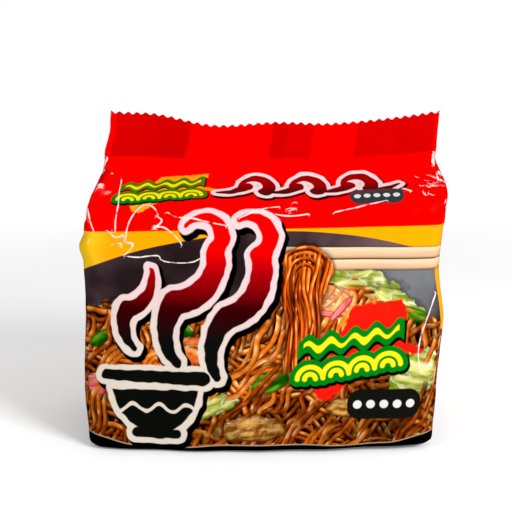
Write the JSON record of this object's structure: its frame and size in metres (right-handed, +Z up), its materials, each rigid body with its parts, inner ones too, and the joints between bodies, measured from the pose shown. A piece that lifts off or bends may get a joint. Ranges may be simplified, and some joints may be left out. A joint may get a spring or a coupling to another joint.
{
  "type": "instant noodle multipack",
  "caption": "Unopened upright film bag of dry noodle portions, with a crimped zigzag top fin, side gussets tucked under it, a lapped back seam and a flat base.",
  "frame": {"origin": "on the base plane, under the middle of the pack's box", "axes": "+Z up, the printed front faces -Y, +X towards the viewer's right when looking at the front"},
  "size_m": [0.2034, 0.1006, 0.1842],
  "materials": {
    "printed_film": "glossy printed film, bright red over a yellow band and a dark food picture, with fine creases"
  },
  "bodies": {
    "root": {"film_pack": "printed_film"}
  },
  "joints": []
}
